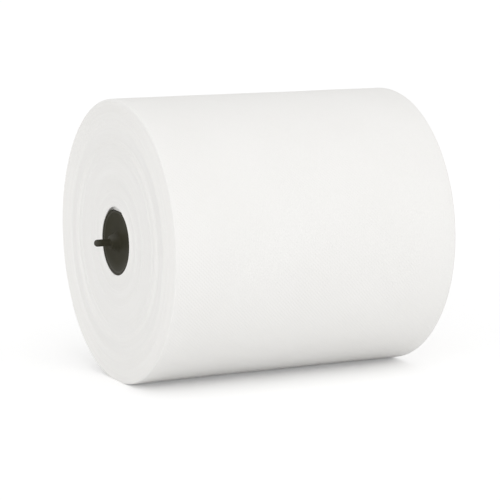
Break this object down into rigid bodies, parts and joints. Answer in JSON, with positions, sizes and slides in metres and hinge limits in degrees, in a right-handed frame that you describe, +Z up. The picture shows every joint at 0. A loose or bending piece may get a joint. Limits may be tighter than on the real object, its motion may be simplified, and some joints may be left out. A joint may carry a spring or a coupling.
{
  "type": "paper towel roll",
  "caption": "White paper hand towel roll on a cardboard core, lying on its side, with a dark moulded plug and spindle pin in one end for a dispenser.",
  "frame": {"origin": "on the surface that the roll lies on, under the middle of its whole length, pin included", "axes": "X along the roll, with the plug and its pin at the -X end and the open end of the core at +X; Y to the back; Z up"},
  "size_m": [0.2256, 0.1928, 0.1923],
  "materials": {
    "tissue_paper": "soft matt, finely embossed, off-white",
    "core_board": "bare greyish brown board, spirally wound",
    "plug_plastic": "warm black, satin from the mould"
  },
  "bodies": {
    "root": {"paper_roll": "tissue_paper", "core_tube": "core_board", "spindle_plug": "plug_plastic"}
  },
  "joints": []
}
